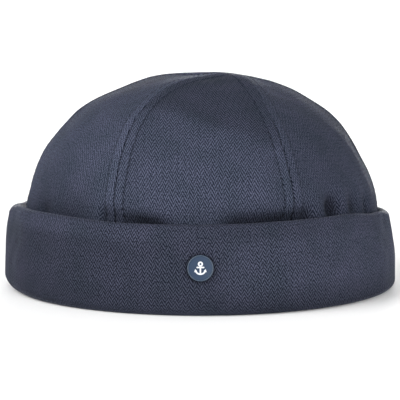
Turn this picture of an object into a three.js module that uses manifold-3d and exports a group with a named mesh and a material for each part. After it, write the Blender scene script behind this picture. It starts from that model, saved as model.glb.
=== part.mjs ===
// A docker beanie: a low round crown of six wool panels inside a broad turned-up cuff,
// with a small round enamelled badge riveted to the front of the cuff.
// Millimetres. +Z is up, the badge faces -Y, and +X is on the right seen from the front.
// The origin is on the ground, under the middle of the hat.
// Azimuths are degrees round the hat, 0 at the front and 90 on the right.

import * as THREE from "three";
import { mergeVertices } from "three/addons/utils/BufferGeometryUtils.js";
import Module from "manifold-3d";

const wasm = await Module();
wasm.setup();

// The cloth
const CLOTH = 2.4;
const CUFF_CLOTH = 4.8; // the cuff is the same cloth, doubled
const GAP = 0.3;

// The crown: a straight wall that closes in a dome, over an oval plan
const CROWN_HALF_WIDTH = 90.5;
const CROWN_HALF_LENGTH = 97.7;
const WALL_TOP = 15;
const DOME_RISE = 92.6;
const PLAN_POWER = 2.13; // 2 is a round dome, more is a squarer shoulder
const RISE_POWER = 2.69;
const DOME_LEAN = 1.6; // the top sits this far to the right

// The seams meet off the middle of the dome, at this share of the crown's half width and length
const APEX_RIGHT = 0.172;
const APEX_BACK = 0.045;
const APEX_HOLE = 1; // radius that the panels' tips leave open

// Each seam by its azimuth at the cuff, how far it swings sideways half way up, as a share of
// the crown's half width, and the panel that follows it
const SEAMS = [
  { azimuth: -28.5, swing: -0.3, panel: "crown_panel_front" },
  { azimuth: 31, swing: -0.19, panel: "crown_panel_front_right" },
  { azimuth: 95, swing: 0.1, panel: "crown_panel_back_right" },
  { azimuth: 152, swing: -0.03, panel: "crown_panel_back" },
  { azimuth: 210, swing: -0.12, panel: "crown_panel_back_left" },
  { azimuth: 267, swing: -0.24, panel: "crown_panel_front_left" },
];

// Half way up the dome the panels lie this much flatter than the seams between them
const PANEL_FLATTENING = 1.6;

// Dents in the crown, and swells where the depth is negative, by their middle, their depth,
// and how many degrees wide and millimetres tall they are
const DENTS = [
  { azimuth: -24, height: 43, depth: 3.8, wide: 9, tall: 9 },
  { azimuth: 14, height: 43, depth: 1.6, wide: 8, tall: 8 },
  { azimuth: 27, height: 43, depth: 3.2, wide: 7, tall: 10 },
  { azimuth: 41, height: 45, depth: 2.2, wide: 4, tall: 11 },
  { azimuth: 55, height: 43, depth: 1.6, wide: 4, tall: 9 },
  { azimuth: -57, height: 42, depth: 1.6, wide: 6, tall: 7 },
  { azimuth: 158, height: 42, depth: 2, wide: 9, tall: 10 },
  { azimuth: 205, height: 42, depth: 1.8, wide: 8, tall: 9 },
  { azimuth: -95, height: 80, depth: 0.35, wide: 30, tall: 18 },
  { azimuth: -90, height: 46, depth: 0.3, wide: 20, tall: 11 },
  { azimuth: -140, height: 105, depth: 0.6, wide: 50, tall: 7 },
  { azimuth: 90, height: 66, depth: 0.7, wide: 30, tall: 10 },
  { azimuth: 90, height: 77, depth: 0.8, wide: 30, tall: 14 },
  { azimuth: 90, height: 40, depth: -0.7, wide: 14, tall: 12 },
];

const PANEL_COLUMNS = 10;
const PANEL_ROWS = 18;
const WALL_ROWS = 1; // of these, the rows on the straight wall

// The cuff: a short leg under the crown's lower edge, a foot on the ground and the turned-up wall
const LEG_TOP = 6;
const CUFF_REACH = 9.1; // how far its widest part stands outside the crown's wall
const BELLY_HEIGHT = 14; // the cuff leans in from here up
const CUFF_TAPER_POWER = 1.3;
const FOOT_THICKNESS = 4.8;
const POCKET_ROUND = 1; // how far the pocket's rounded floor dips between the leg and the wall
const INNER_CORNER = 2;

// The cuff by azimuth: the height of its top edge, the slit between that edge and the crown,
// how thick the rolled edge is, and the radius of the outer corner at the ground
const CUFF_ROWS = [
  { azimuth: -180, top: 37.5, slit: 0.9, roll: 5, corner: 5 },
  { azimuth: -130, top: 37.5, slit: 0.9, roll: 5, corner: 5.5 },
  { azimuth: -106, top: 38.4, slit: 1.2, roll: 6, corner: 7 },
  { azimuth: -88, top: 40.2, slit: 0.9, roll: 7.4, corner: 7.5 },
  { azimuth: -72, top: 43, slit: 0.9, roll: 7, corner: 6.5 },
  { azimuth: -50, top: 43.7, slit: 0.9, roll: 6, corner: 5 },
  { azimuth: -24, top: 43.2, slit: 1.8, roll: 5.2, corner: 4.5 },
  { azimuth: 0, top: 43.3, slit: 1, roll: 5.4, corner: 4.5 },
  { azimuth: 26, top: 43.8, slit: 1.6, roll: 5, corner: 4.5 },
  { azimuth: 48, top: 43.8, slit: 1, roll: 5, corner: 4 },
  { azimuth: 70, top: 40.8, slit: 1.5, roll: 5, corner: 3.3 },
  { azimuth: 88, top: 36.8, slit: 1.8, roll: 5, corner: 3 },
  { azimuth: 110, top: 36, slit: 1.4, roll: 5, corner: 4 },
];

// Where the two faces of the turned-up wall have points, as shares of the way up from the belly
// to the rolled edge, in the order in which the section passes them
const OUTER_FACE_SHARES = [0, 0.4, 0.7];
const INNER_FACE_SHARES = [0.5, 0];

const CUFF_COLUMNS = 72;
const INNER_CORNER_STEPS = 2;
const CORNER_STEPS = 4;
const ROLL_STEPS = 6;
const POCKET_STEPS = 4;

// The badge: a metal cap with a sunk enamel face, on a rivet through the front of the cuff
const FRONT = 0;
const BADGE_HEIGHT = 23.3;
const BADGE_RADIUS = 6.2;
const CAP_DEPTH = 1.8;
const CAP_RIM = 0.8; // width of the rim round the face
const CAP_EDGE = 0.35; // radius of its rounded edges
const SINK_DEPTH = 1;
const FACE_DEPTH = 0.6;
const RIVET_RADIUS = 1.3;
const RIVET_PLATE_RADIUS = 3.6;
const RIVET_PLATE_DEPTH = 0.9;
const BADGE_SIDES = 32;
const RIVET_HOLE_SIDES = 16;

// The anchor in relief on the badge
const ANCHOR_HEIGHT = 6.4;
const ANCHOR_STROKE = 0.75;
const ANCHOR_RELIEF = 0.3;
const ANCHOR_EYE = 0.85; // radius of its ring, to the middle of the stroke
const ANCHOR_STOCK = 3; // length of the crossbar
const ANCHOR_ARMS = 2.5; // radius of the arms
const ANCHOR_ARMS_SPREAD = 68; // degrees that each arm climbs from the foot
const ANCHOR_SEGMENTS = 10; // chords in each of its round outlines
const FLUKE_LENGTH = 1.5;

// The corners of a fluke, as shares of its length away from the arm's tip
const FLUKE_CORNERS = [
  { outward: -0.55, up: -0.1 },
  { outward: 0.45, up: -0.45 },
  { outward: 0.1, up: 0.6 },
];

// Vertices closer than this are one vertex
const MERGE_DISTANCE = 1e-4;

const WOOL = { color: 0x464c5c, roughness: 0.95, metalness: 0 };
const CUFF_WOOL = { color: 0x3d4250, roughness: 0.95, metalness: 0 };
const BLUE_METAL = { color: 0x24364c, roughness: 0.35, metalness: 0.8 };
const BLUE_ENAMEL = { color: 0x355472, roughness: 0.15, metalness: 0 };
const STEEL = { color: 0x8b9096, roughness: 0.4, metalness: 1 };

const { degToRad, lerp } = THREE.MathUtils;

// A named mesh with its own material
function piece(name, geometry, look) {
  geometry.computeVertexNormals();
  const mesh = new THREE.Mesh(geometry, new THREE.MeshStandardMaterial(look));
  mesh.name = name;
  return mesh;
}

// Moves every vertex of a geometry to the place that a function gives for it
function bend(geometry, placeOf) {
  const position = geometry.getAttribute("position");
  for (let i = 0; i < position.count; i += 1) {
    const corner = new THREE.Vector3().fromBufferAttribute(position, i);
    const place = placeOf(corner, i);
    position.setXYZ(i, place.x, place.y, place.z);
  }
  return geometry;
}

// The shortest turn from one azimuth to another, in degrees
function turnBetween(from, to) {
  return ((((to - from) % 360) + 540) % 360) - 180;
}

// The values of a table at an azimuth, eased from one row to the next round the hat
function rowAt(rows, azimuth) {
  const turn = (((azimuth - rows[0].azimuth) % 360) + 360) % 360;
  const starts = rows.map((row) => row.azimuth - rows[0].azimuth);
  const after = starts.findIndex((start) => start > turn);
  const right = after === -1 ? 0 : after;
  const left = (right - 1 + rows.length) % rows.length;
  const end = right === 0 ? 360 : starts[right];
  const share = (turn - starts[left]) / (end - starts[left]);
  const eased = (1 - Math.cos(Math.PI * share)) / 2;
  const names = Object.keys(rows[0]).filter((name) => name !== "azimuth");
  return Object.fromEntries(
    names.map((name) => [name, lerp(rows[left][name], rows[right][name], eased)]),
  );
}

// How much of the crown's plan is left at a height, from 1 on the wall to 0 at the top
function planShare(height) {
  const rise = Math.max(0, (height - WALL_TOP) / DOME_RISE);
  return (1 - rise ** RISE_POWER) ** (1 / PLAN_POWER);
}

// The dome over a point of its plan, given as shares of the half width and half length
function domePoint(right, back) {
  const reach = Math.min(1, Math.hypot(right, back));
  const rise = (1 - reach ** PLAN_POWER) ** (1 / RISE_POWER);
  const place = new THREE.Vector3(
    CROWN_HALF_WIDTH * right + DOME_LEAN * rise,
    CROWN_HALF_LENGTH * back,
    WALL_TOP + DOME_RISE * rise,
  );
  const steepness = PLAN_POWER * reach ** (PLAN_POWER - 2);
  const outRight = (steepness * right) / CROWN_HALF_WIDTH;
  const outBack = (steepness * back) / CROWN_HALF_LENGTH;
  const slant = (RISE_POWER * rise ** (RISE_POWER - 1) - DOME_LEAN * outRight) / DOME_RISE;
  return { place, outward: new THREE.Vector3(outRight, outBack, slant).normalize() };
}

// The crown's smooth form along a line from its lower edge to the apex. The line starts at an
// azimuth, swings sideways as a seam does, and rise runs from 0 to 1 along it.
function smoothCrown(azimuth, swing, rise) {
  const angle = degToRad(azimuth);
  const wallShare = WALL_ROWS / PANEL_ROWS;
  if (rise <= wallShare) {
    const wall = domePoint(Math.sin(angle), -Math.cos(angle));
    wall.place.z = lerp(LEG_TOP + GAP, WALL_TOP, rise / wallShare);
    return { ...wall, reach: 1 };
  }
  const climb = ((rise - wallShare) / (1 - wallShare)) ** (RISE_POWER / 2);
  const reach = Math.cos(climb * Math.acos(APEX_HOLE / CROWN_HALF_WIDTH));
  const drift = 1 - reach ** 2;
  const sideways = swing * reach * drift;
  const right = reach * Math.sin(angle) + APEX_RIGHT * drift + sideways * Math.cos(angle);
  const back = -reach * Math.cos(angle) + APEX_BACK * drift + sideways * Math.sin(angle);
  return { ...domePoint(right, back), reach };
}

// How far the dents push in at a place on the crown
function dentDepth(place) {
  const azimuth = THREE.MathUtils.radToDeg(Math.atan2(place.x, -place.y));
  return DENTS.reduce((depth, dent) => {
    const aside = turnBetween(dent.azimuth, azimuth) / dent.wide;
    const above = (place.z - dent.height) / dent.tall;
    return depth + dent.depth * Math.exp(-(aside ** 2) - above ** 2);
  }, 0);
}

// A share that is 0 at the dome's foot and at the apex, and 1 where it peaks half way up
function halfWayShare(reach) {
  const peak = 2 / (3 * Math.sqrt(3));
  return (reach * (1 - reach ** 2)) / peak;
}

// One panel: a sheet between two seams, from the lower edge to the apex
function crownPanel(left, right) {
  const span = turnBetween(left.azimuth, right.azimuth);
  const lineAt = (across, rise) =>
    smoothCrown(left.azimuth + span * across, lerp(left.swing, right.swing, across), rise);
  const sheet = new THREE.BoxGeometry(1, 1, 1, PANEL_COLUMNS, 1, PANEL_ROWS);
  return bend(sheet, (corner) => {
    const rise = corner.z + 0.5;
    const width = lineAt(0, rise).place.distanceTo(lineAt(1, rise).place);
    const inset = GAP / 2 / width;
    const across = lerp(inset, 1 - inset, corner.x + 0.5);
    const { place, outward, reach } = lineAt(across, rise);
    const arch = 1 - (2 * across - 1) ** 2;
    const inward = PANEL_FLATTENING * arch * halfWayShare(reach) + dentDepth(place);
    const depth = CLOTH * (corner.y + 0.5);
    return place.addScaledVector(outward, -inward - depth);
  });
}

// Points on part of an ellipse, with angles in degrees from the outward direction
function arc(middleOut, middleUp, radiusOut, radiusUp, from, to, steps) {
  return Array.from({ length: steps + 1 }, (_, i) => {
    const angle = degToRad(lerp(from, to, i / steps));
    return new THREE.Vector2(
      middleOut + radiusOut * Math.cos(angle),
      middleUp + radiusUp * Math.sin(angle),
    );
  });
}

// How far the cuff's outer face stands outside the crown's wall at a height above its belly
function cuffFace(azimuth, height) {
  const { top, slit, roll } = rowAt(CUFF_ROWS, azimuth);
  const crownInset = (1 - planShare(top)) * CROWN_HALF_WIDTH;
  const share = (height - BELLY_HEIGHT) / (top - roll / 2 - BELLY_HEIGHT);
  return lerp(CUFF_REACH, slit + roll - crownInset, share ** CUFF_TAPER_POWER);
}

// The cuff's section at an azimuth: x is the distance outside the crown's wall, y the height.
// It runs out along the ground, up the outside, over the rolled edge and down into the slit.
function cuffSection(azimuth) {
  const { top, roll, corner } = rowAt(CUFF_ROWS, azimuth);
  const rollHeight = top - roll / 2;
  const wallPoint = (share, thickness) => {
    const height = lerp(BELLY_HEIGHT, rollHeight, share);
    return new THREE.Vector2(cuffFace(azimuth, height) - thickness, height);
  };
  const edgeMiddle = cuffFace(azimuth, rollHeight) - roll / 2;
  const innerMiddle = INNER_CORNER - CLOTH;
  const pocketHalf = (CUFF_REACH - CUFF_CLOTH) / 2;
  const pocketEdge = FOOT_THICKNESS + POCKET_ROUND;
  return [
    ...arc(innerMiddle, INNER_CORNER, INNER_CORNER, INNER_CORNER, 180, 270, INNER_CORNER_STEPS),
    ...arc(CUFF_REACH - corner, corner, corner, corner, 270, 360, CORNER_STEPS),
    ...OUTER_FACE_SHARES.map((share) => wallPoint(share, 0)),
    ...arc(edgeMiddle, rollHeight, roll / 2, roll / 2, 0, 180, ROLL_STEPS),
    ...INNER_FACE_SHARES.map((share) => wallPoint(share, CUFF_CLOTH)),
    ...arc(pocketHalf, pocketEdge, pocketHalf, POCKET_ROUND, 360, 180, POCKET_STEPS),
    new THREE.Vector2(0, LEG_TOP),
    new THREE.Vector2(-CLOTH, LEG_TOP),
  ];
}

// The place of a point of the cuff: a distance outside the crown's wall, square to its plan
function besideCrown(azimuth, out, height) {
  const angle = degToRad(azimuth);
  const { place, outward } = domePoint(Math.sin(angle), -Math.cos(angle));
  return place.addScaledVector(outward, out).setZ(height);
}

function cuffRing() {
  const outline = cuffSection(FRONT);
  outline.push(outline[0]);
  const ring = new THREE.LatheGeometry(outline, CUFF_COLUMNS);
  const sections = Array.from({ length: CUFF_COLUMNS }, (_, i) =>
    cuffSection((360 * i) / CUFF_COLUMNS),
  );
  return bend(ring, (_, i) => {
    const column = Math.floor(i / outline.length) % CUFF_COLUMNS;
    const section = sections[column];
    const { x, y } = section[(i % outline.length) % section.length];
    return besideCrown((360 * column) / CUFF_COLUMNS, x, y);
  });
}

// A closed geometry as a solid that can be joined and cut
function solidOf(geometry) {
  const bare = geometry.clone();
  bare.deleteAttribute("normal");
  bare.deleteAttribute("uv");
  const merged = mergeVertices(bare, MERGE_DISTANCE);
  return new wasm.Manifold(
    new wasm.Mesh({
      numProp: 3,
      vertProperties: merged.getAttribute("position").array,
      triVerts: new Uint32Array(merged.getIndex().array),
    }),
  );
}

function geometryOf(solid) {
  const { vertProperties, triVerts } = solid.getMesh();
  return new THREE.BufferGeometry()
    .setAttribute("position", new THREE.BufferAttribute(vertProperties, 3))
    .setIndex(new THREE.BufferAttribute(triVerts, 1));
}

// Pieces of the badge are turned about its own axis, which is +Z in the badge's group, with
// 0 at the cuff's outer face. A profile's points are [radius, distance in front of the cuff].
function turned(profile, sides = BADGE_SIDES) {
  const points = profile.map(([radius, front]) => new THREE.Vector2(radius, front));
  return new THREE.LatheGeometry(points, sides).rotateX(Math.PI / 2);
}

function badgeCap() {
  const back = GAP;
  const front = back + CAP_DEPTH;
  const inside = BADGE_RADIUS - CAP_RIM;
  return turned([
    [0, back],
    [BADGE_RADIUS - CAP_EDGE, back],
    [BADGE_RADIUS, back + CAP_EDGE],
    [BADGE_RADIUS, front - CAP_EDGE],
    [BADGE_RADIUS - CAP_EDGE, front],
    [inside + CAP_EDGE, front],
    [inside, front - CAP_EDGE],
    [inside, front - SINK_DEPTH],
    [0, front - SINK_DEPTH],
  ]);
}

// The anchor lies in the badge's plane, upright, as bars and rings joined into one solid
function anchorSolid(back, depth) {
  const raise = (shape) =>
    solidOf(
      new THREE.ExtrudeGeometry(shape, {
        depth,
        bevelEnabled: false,
        curveSegments: ANCHOR_SEGMENTS,
      }).translate(0, 0, back),
    );
  const bar = (x, y, width, height) => {
    const shape = new THREE.Shape();
    shape.moveTo(x - width / 2, y - height / 2);
    shape.lineTo(x + width / 2, y - height / 2);
    shape.lineTo(x + width / 2, y + height / 2);
    shape.lineTo(x - width / 2, y + height / 2);
    return raise(shape);
  };
  const stroke = ANCHOR_STROKE;
  const top = ANCHOR_HEIGHT / 2;
  const foot = stroke / 2 - ANCHOR_HEIGHT / 2;
  const eyeHeight = top - ANCHOR_EYE - stroke / 2;
  const shankTop = eyeHeight - ANCHOR_EYE;
  const stockHeight = shankTop - stroke;
  const armsHeight = foot + ANCHOR_ARMS;

  const eye = new THREE.Shape().absarc(0, eyeHeight, ANCHOR_EYE + stroke / 2, 0, 2 * Math.PI);
  const eyeHole = new THREE.Path().absarc(0, eyeHeight, ANCHOR_EYE - stroke / 2, 0, 2 * Math.PI);
  eye.holes.push(eyeHole);

  const spread = degToRad(ANCHOR_ARMS_SPREAD);
  const down = -Math.PI / 2;
  const arms = new THREE.Shape();
  arms.absarc(0, armsHeight, ANCHOR_ARMS + stroke / 2, down - spread, down + spread, false);
  arms.absarc(0, armsHeight, ANCHOR_ARMS - stroke / 2, down + spread, down - spread, true);

  const fluke = (side) => {
    const tip = new THREE.Vector2(
      side * ANCHOR_ARMS * Math.sin(spread),
      armsHeight - ANCHOR_ARMS * Math.cos(spread),
    );
    const points = FLUKE_CORNERS.map(
      ({ outward, up }) =>
        new THREE.Vector2(tip.x + side * FLUKE_LENGTH * outward, tip.y + FLUKE_LENGTH * up),
    );
    return raise(new THREE.Shape(side > 0 ? points : points.reverse()));
  };

  return [
    bar(0, (shankTop + foot) / 2, stroke, shankTop - foot + stroke / 2),
    bar(0, stockHeight, ANCHOR_STOCK, stroke),
    raise(arms),
    fluke(-1),
    fluke(1),
  ].reduce((joined, part) => joined.add(part), raise(eye));
}

function badgeFace() {
  const back = GAP + CAP_DEPTH - SINK_DEPTH + GAP;
  const front = back + FACE_DEPTH;
  const radius = BADGE_RADIUS - CAP_RIM - GAP;
  const disc = solidOf(
    turned([
      [0, back],
      [radius, back],
      [radius, front - CAP_EDGE / 2],
      [radius - CAP_EDGE, front],
      [0, front],
    ]),
  );
  const anchor = anchorSolid(front - FACE_DEPTH / 2, FACE_DEPTH / 2 + ANCHOR_RELIEF);
  return geometryOf(disc.add(anchor));
}

// The rivet's plate lies in the cuff's slit, and its shank reaches the back of the cap
function badgeRivet() {
  const plateFront = -CUFF_CLOTH - GAP;
  const plateBack = plateFront - RIVET_PLATE_DEPTH;
  return turned([
    [0, plateBack],
    [RIVET_PLATE_RADIUS - CAP_EDGE, plateBack],
    [RIVET_PLATE_RADIUS, plateBack + CAP_EDGE],
    [RIVET_PLATE_RADIUS, plateFront],
    [RIVET_RADIUS, plateFront],
    [RIVET_RADIUS, 0],
    [0, 0],
  ]);
}

function rivetHole() {
  const radius = RIVET_RADIUS + GAP;
  const depth = CUFF_CLOTH + 2 * RIVET_PLATE_DEPTH;
  return turned(
    [
      [0, -depth],
      [radius, -depth],
      [radius, RIVET_PLATE_DEPTH],
      [0, RIVET_PLATE_DEPTH],
    ],
    RIVET_HOLE_SIDES,
  );
}

const beanie = new THREE.Group();

SEAMS.forEach((seam, i) => {
  const next = SEAMS[(i + 1) % SEAMS.length];
  beanie.add(piece(seam.panel, crownPanel(seam, next), WOOL));
});

const badge = new THREE.Group();
const faceBelow = cuffFace(FRONT, BADGE_HEIGHT - BADGE_RADIUS);
const faceAbove = cuffFace(FRONT, BADGE_HEIGHT + BADGE_RADIUS);
badge.position.copy(besideCrown(FRONT, cuffFace(FRONT, BADGE_HEIGHT), BADGE_HEIGHT));
badge.rotation.x = Math.atan2(2 * BADGE_RADIUS, faceBelow - faceAbove);
badge.updateMatrix();
badge.add(piece("badge_cap", badgeCap(), BLUE_METAL));
badge.add(piece("badge_face", badgeFace(), BLUE_ENAMEL));
badge.add(piece("badge_rivet", badgeRivet(), STEEL));
beanie.add(badge);

const hole = solidOf(rivetHole().applyMatrix4(badge.matrix));
const cuff = solidOf(cuffRing()).subtract(hole);
beanie.add(piece("turn_up_cuff", geometryOf(cuff), CUFF_WOOL));

export default beanie;
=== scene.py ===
"""The looks of a docker beanie in herringbone wool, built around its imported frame.

Shapes are worked out in millimetres and turned into metres when a mesh is made. +Z is up and the
badge faces -Y. Azimuths are degrees round the hat, 0 at the front and 90 on the right.
"""

import math
from typing import NamedTuple

import bpy
import numpy as np
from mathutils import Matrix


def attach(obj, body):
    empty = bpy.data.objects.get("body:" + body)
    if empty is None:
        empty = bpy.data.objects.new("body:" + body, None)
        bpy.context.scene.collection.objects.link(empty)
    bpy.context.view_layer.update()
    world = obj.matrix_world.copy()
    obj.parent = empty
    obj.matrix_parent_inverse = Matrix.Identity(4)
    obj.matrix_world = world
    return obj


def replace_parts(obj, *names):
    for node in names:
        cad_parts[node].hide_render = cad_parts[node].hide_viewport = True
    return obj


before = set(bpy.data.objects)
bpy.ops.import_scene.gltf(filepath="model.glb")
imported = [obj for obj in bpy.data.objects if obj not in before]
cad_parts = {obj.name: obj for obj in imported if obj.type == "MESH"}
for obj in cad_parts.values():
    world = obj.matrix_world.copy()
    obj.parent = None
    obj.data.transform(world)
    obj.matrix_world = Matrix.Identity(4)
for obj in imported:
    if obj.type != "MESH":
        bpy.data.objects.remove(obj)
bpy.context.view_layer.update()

MM = 0.001

CLOTH = 2.4  # thickness of the crown's cloth, and of the cuff's leg under it
CUFF_CLOTH = 4.8  # thickness of the doubled cloth of the cuff's wall
GAP = 0.3  # below the crown, behind the badge and between the badge's pieces

# The crown: a straight wall that closes in a dome, over an oval plan. On the dome,
# reach ** PLAN_POWER + rise ** RISE_POWER is 1, for the reach from the middle and the rise above
# the wall as shares of the greatest.
CROWN_HALF_WIDTH = 90.5
CROWN_HALF_LENGTH = 97.7
WALL_TOP = 15
DOME_RISE = 92.6
PLAN_POWER = 2.13
RISE_POWER = 2.69
DOME_LEAN = 1.6  # of its top to the right

# The seams meet off the middle of the dome, at this share of its half width and half length
APEX_RIGHT = 0.172
APEX_BACK = 0.045
APEX_HOLE = 0.15  # radius of the needle-sized hole where the panels meet
WALL_SHARE = 1 / 18  # of a panel's rise, what lies on the straight wall
PANEL_FLATTENING = 1.6  # how far a panel's middle lies inside the dome, half way up


class Seam(NamedTuple):
    """A seam of the crown, and the panel on its right."""

    azimuth: float  # at the crown's foot
    swing: float  # sideways, half way up, as a share of the crown's half width
    groove: float  # how deep it is and how much painted shade lies in it, as a share of the deepest
    panel: str
    tone: float  # painted light and shade: how light the panel's cloth is painted, for how light falls on its side
    rows: float  # how deep its rows of needle holes are and how much painted shade lies in them, as a share of the deepest


SEAMS = [
    Seam(-28.5, -0.3, 1, "crown_panel_front", 1, 1),
    Seam(31, -0.19, 1, "crown_panel_front_right", 0.9, 0.5),
    Seam(95, 0.1, 0.8, "crown_panel_back_right", 0.95, 0.8),
    Seam(152, -0.03, 0.9, "crown_panel_back", 1.02, 0.8),
    Seam(210, -0.12, 0.9, "crown_panel_back_left", 0.97, 0.8),
    Seam(267, -0.24, 0.8, "crown_panel_front_left", 1.16, 0.45),
]


class Dent(NamedTuple):
    """A soft dent in the crown, with the place of its middle."""

    azimuth: float
    height: float
    depth: float  # a swell where negative
    wide: float  # degrees
    tall: float


DENTS = [
    Dent(-16.5, 42, 2.0, 5.5, 5),
    Dent(14, 42, 1.0, 8, 7),
    Dent(27, 41, 2.0, 7, 5.5),
    Dent(38.5, 49, -1.2, 2.6, 9),
    Dent(45.5, 47, 5.2, 3.2, 6),
    Dent(51.5, 49, -0.9, 2, 8),
    Dent(57, 46, 2.6, 2.8, 7),
    Dent(62.5, 47, -0.5, 2, 7),
    Dent(67.5, 43, 3.2, 2.2, 6),
    Dent(-47, 42, 1.4, 7, 5),
    Dent(-60, 43, 1.8, 4, 5),
    Dent(118, 41, 1.6, 7, 6),
    Dent(158, 41, 3, 9, 7),
    Dent(188, 41, 1.2, 5, 5),
    Dent(206, 41, 2.8, 8, 7),
    Dent(244, 41, 1.8, 6, 7),
    Dent(-95, 80, 0.35, 30, 18),
    Dent(-90, 46, 0.3, 20, 11),
    Dent(-140, 105, 0.6, 50, 7),
    Dent(130, 105, 0.4, 60, 8),
    Dent(90, 66, 0.7, 30, 10),
    Dent(90, 77, 0.8, 30, 14),
    Dent(90, 40, -0.7, 14, 12),
    Dent(0, 107, -0.28, 400, 6),  # all round the top
]


class Fold(NamedTuple):
    """A stretch of the crown that is tucked in above the cuff, under a bulging upper edge."""

    start: float  # azimuth
    end: float
    start_top: float  # height of its upper edge
    end_top: float
    depth: float
    start_soft: float  # degrees over which the ends set in
    end_soft: float


FOLDS = [
    Fold(-31.5, -9, 50, 44, 2.7, 1.5, 6),
    Fold(7, 35.5, 46, 48, 3.0, 10, 3),
]
FOLD_SOFT = 8  # millimetres over which a fold's upper edge sets in

# The front panel breaks along a slanting crease, flatter above it and steeper below
CREASE_HEIGHT = 86.5
CREASE_SLANT = -0.33  # millimetres down for each degree to the right
CREASE_BULGE = 2.2
CREASE_BELOW = 24  # distance below the crease over which the bulge falls off
CREASE_ABOVE = 17
CREASE_ROUND = 2.5  # how far from the crease it is rounded
CREASE_EDGE = 14  # distance from the seams over which it fades
CREASE_PAINTED_SHADE = 0.27  # painted shade: how much darker the cloth is painted above it, where the flatter cloth gets less light
CREASE_PAINTED_SHADE_SOFT = 12


class Ripple(NamedTuple):
    """A smooth random unevenness."""

    height: float
    wavelength: float
    seed: int


CREASE_RIPPLES = [Ripple(3, 25, 8)]
CROWN_RIPPLES = [Ripple(0.28, 34, 3), Ripple(0.07, 9, 4)]
CUFF_RIPPLES = [Ripple(0.35, 30, 11), Ripple(0.1, 11, 12)]
CUFF_RIPPLE_FOOT = 3  # height up to which the cuff isn't rippled, so that it lies flat
CUFF_RIPPLE_SOFT = 10  # and how far above that its ripples set in
RIPPLE_WAVES = 9  # sine waves that add up to a ripple
RIPPLE_SPREAD = (0.7, 1.4)  # how long they are, as a share of its wavelength


class PaintedShade(NamedTuple):
    """A stretch of painted shade on the crown, with the place of its middle."""

    azimuth: float
    height: float
    dark: float
    wide: float  # degrees
    tall: float


CROWN_PAINTED_SHADES = [
    PaintedShade(-57, 52, 0.27, 20, 17),
    PaintedShade(-40, 48, 0.16, 8, 10),
    PaintedShade(-115, 96, 0.16, 45, 14),
    PaintedShade(-80, 104, 0.22, 38, 6.5),
    PaintedShade(100, 88, 0.18, 35, 12),
    PaintedShade(50, 68, 0.1, 12, 20),
]
RIM_PAINTED_SHADE = 0.17  # painted shade just above the cuff, where the cuff shades the crown
RIM_PAINTED_SHADE_TOP = 13
MOST_PAINTED_SHADE = 0.8  # the darkest that the crown's cloth is painted, where painted shades add up


class CuffRow(NamedTuple):
    """The cuff's section at one azimuth."""

    azimuth: float
    top: float
    slit: float  # between the top edge and the crown
    roll: float  # thickness of the rolled edge
    corner: float  # radius of the outer corner at the ground
    reach: float  # how far its widest part stands outside the crown's wall
    tone: float  # painted light and shade: how light its cloth is painted half way up, for how light falls on that side
    rim_painted_shading: float  # and along its top edge, painted lighter where the roll faces the light
    fold_painted_shade: float  # and along its lower fold, painted shade where it curves under


CUFF_ROWS = [
    CuffRow(-180, 37.5, 0.9, 5, 5, 9.1, 0.95, 0.95, 0.64),
    CuffRow(-130, 37.5, 0.9, 5, 5.5, 9.3, 0.9, 0.95, 0.64),
    CuffRow(-106, 38.4, 1.2, 6, 7, 9.5, 1.05, 1.1, 0.74),
    CuffRow(-88, 40.2, 0.9, 7.4, 7.5, 9.6, 0.93, 1.08, 0.95),
    CuffRow(-72, 43, 0.9, 7, 6.5, 9.5, 0.75, 1.03, 0.7),
    CuffRow(-50, 43.7, 0.9, 6, 5, 9.2, 0.73, 1.03, 0.64),
    CuffRow(-24, 43.2, 1.6, 5.2, 4.5, 9.1, 0.74, 0.92, 0.63),
    CuffRow(0, 43.3, 1, 5.4, 4.5, 9.1, 0.78, 0.84, 0.66),
    CuffRow(12, 43.5, 1.3, 5.2, 4.5, 9.1, 0.98, 0.82, 0.57),
    CuffRow(26, 43.8, 1.6, 5, 4.5, 9.1, 1.03, 0.86, 0.55),
    CuffRow(48, 43.8, 1, 5, 4, 9.1, 1.06, 0.93, 0.64),
    CuffRow(70, 40.8, 1.5, 5, 3.3, 9.1, 1.08, 0.97, 0.72),
    CuffRow(88, 36.8, 1.8, 5, 3, 9.1, 1.18, 1.06, 0.88),
    CuffRow(110, 36, 1.4, 5, 4, 9.1, 1.12, 1.05, 0.74),
]
LEG_TOP = 6  # of the leg that stands under the crown
BELLY_HEIGHT = 14  # of the cuff's widest part
CUFF_TAPER_POWER = 1.3  # how late the wall leans in above it
FOOT_THICKNESS = 4.8  # of the cloth that joins the leg and the wall on the ground
POCKET_ROUND = 1  # how deep the bottom of the hollow between them is rounded
INNER_CORNER = 2  # radius of the leg's corner at the ground

# Rows of vertices on the stretches of the cuff's section, and columns round it
INNER_CORNER_ROWS = 7
OUTER_CORNER_ROWS = 14
OUTER_FACE_ROWS = 25
ROLL_ROWS = 19
INNER_FACE_ROWS = 8
POCKET_ROWS = 7
CUFF_COLUMNS = 720
CUFF_WEAVE_ROW = 30  # a row on the outer face, along which the weave round it is measured

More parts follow.
